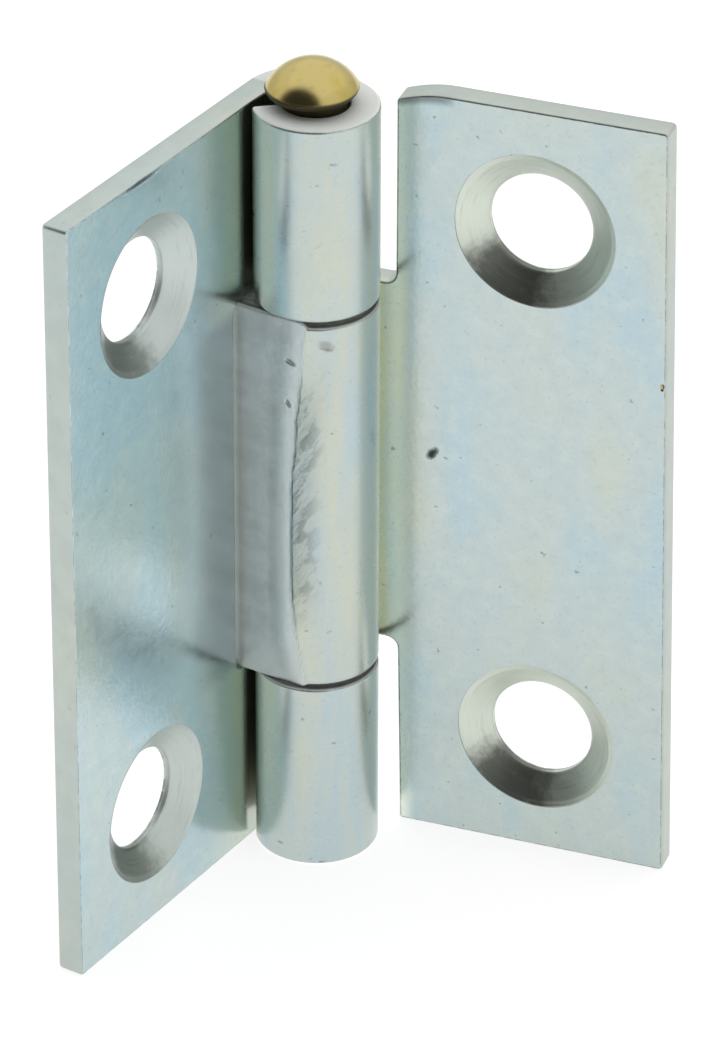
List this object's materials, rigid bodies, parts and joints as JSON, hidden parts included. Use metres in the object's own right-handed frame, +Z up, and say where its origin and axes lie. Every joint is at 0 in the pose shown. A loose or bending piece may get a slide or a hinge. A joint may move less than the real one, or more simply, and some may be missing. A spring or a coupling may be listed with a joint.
{
  "type": "butt hinge",
  "caption": "Small pressed-steel butt hinge: two zinc-plated rolled leaves with countersunk screw holes, swinging on a domed brass pin.",
  "frame": {"origin": "on the fixed leaf's back face, midway between its two screw holes", "axes": "+Y is the outward normal of the fixed leaf's back face, +X runs from the leaf towards the pin, +Z runs up along the pin to its domed head"},
  "size_m": [0.0152, 0.0124, 0.0268],
  "materials": {
    "zinc_plated_steel": "bright zinc plating over pressed steel sheet, handling scuffs and dark pits",
    "brass_pin": "polished brass plating on the domed head"
  },
  "bodies": {
    "fixed_leaf": {"fixed_leaf": "zinc_plated_steel", "hinge_pin": "brass_pin"},
    "swing_leaf": {"swing_leaf": "zinc_plated_steel"}
  },
  "joints": [
    {"name": "leaf_swing", "type": "hinge", "parent": "fixed_leaf", "child": "swing_leaf", "pos_m": [0.0064, -0.00245, 0], "axis": [0, 0, 1], "range_deg": [-116, 122]}
  ]
}
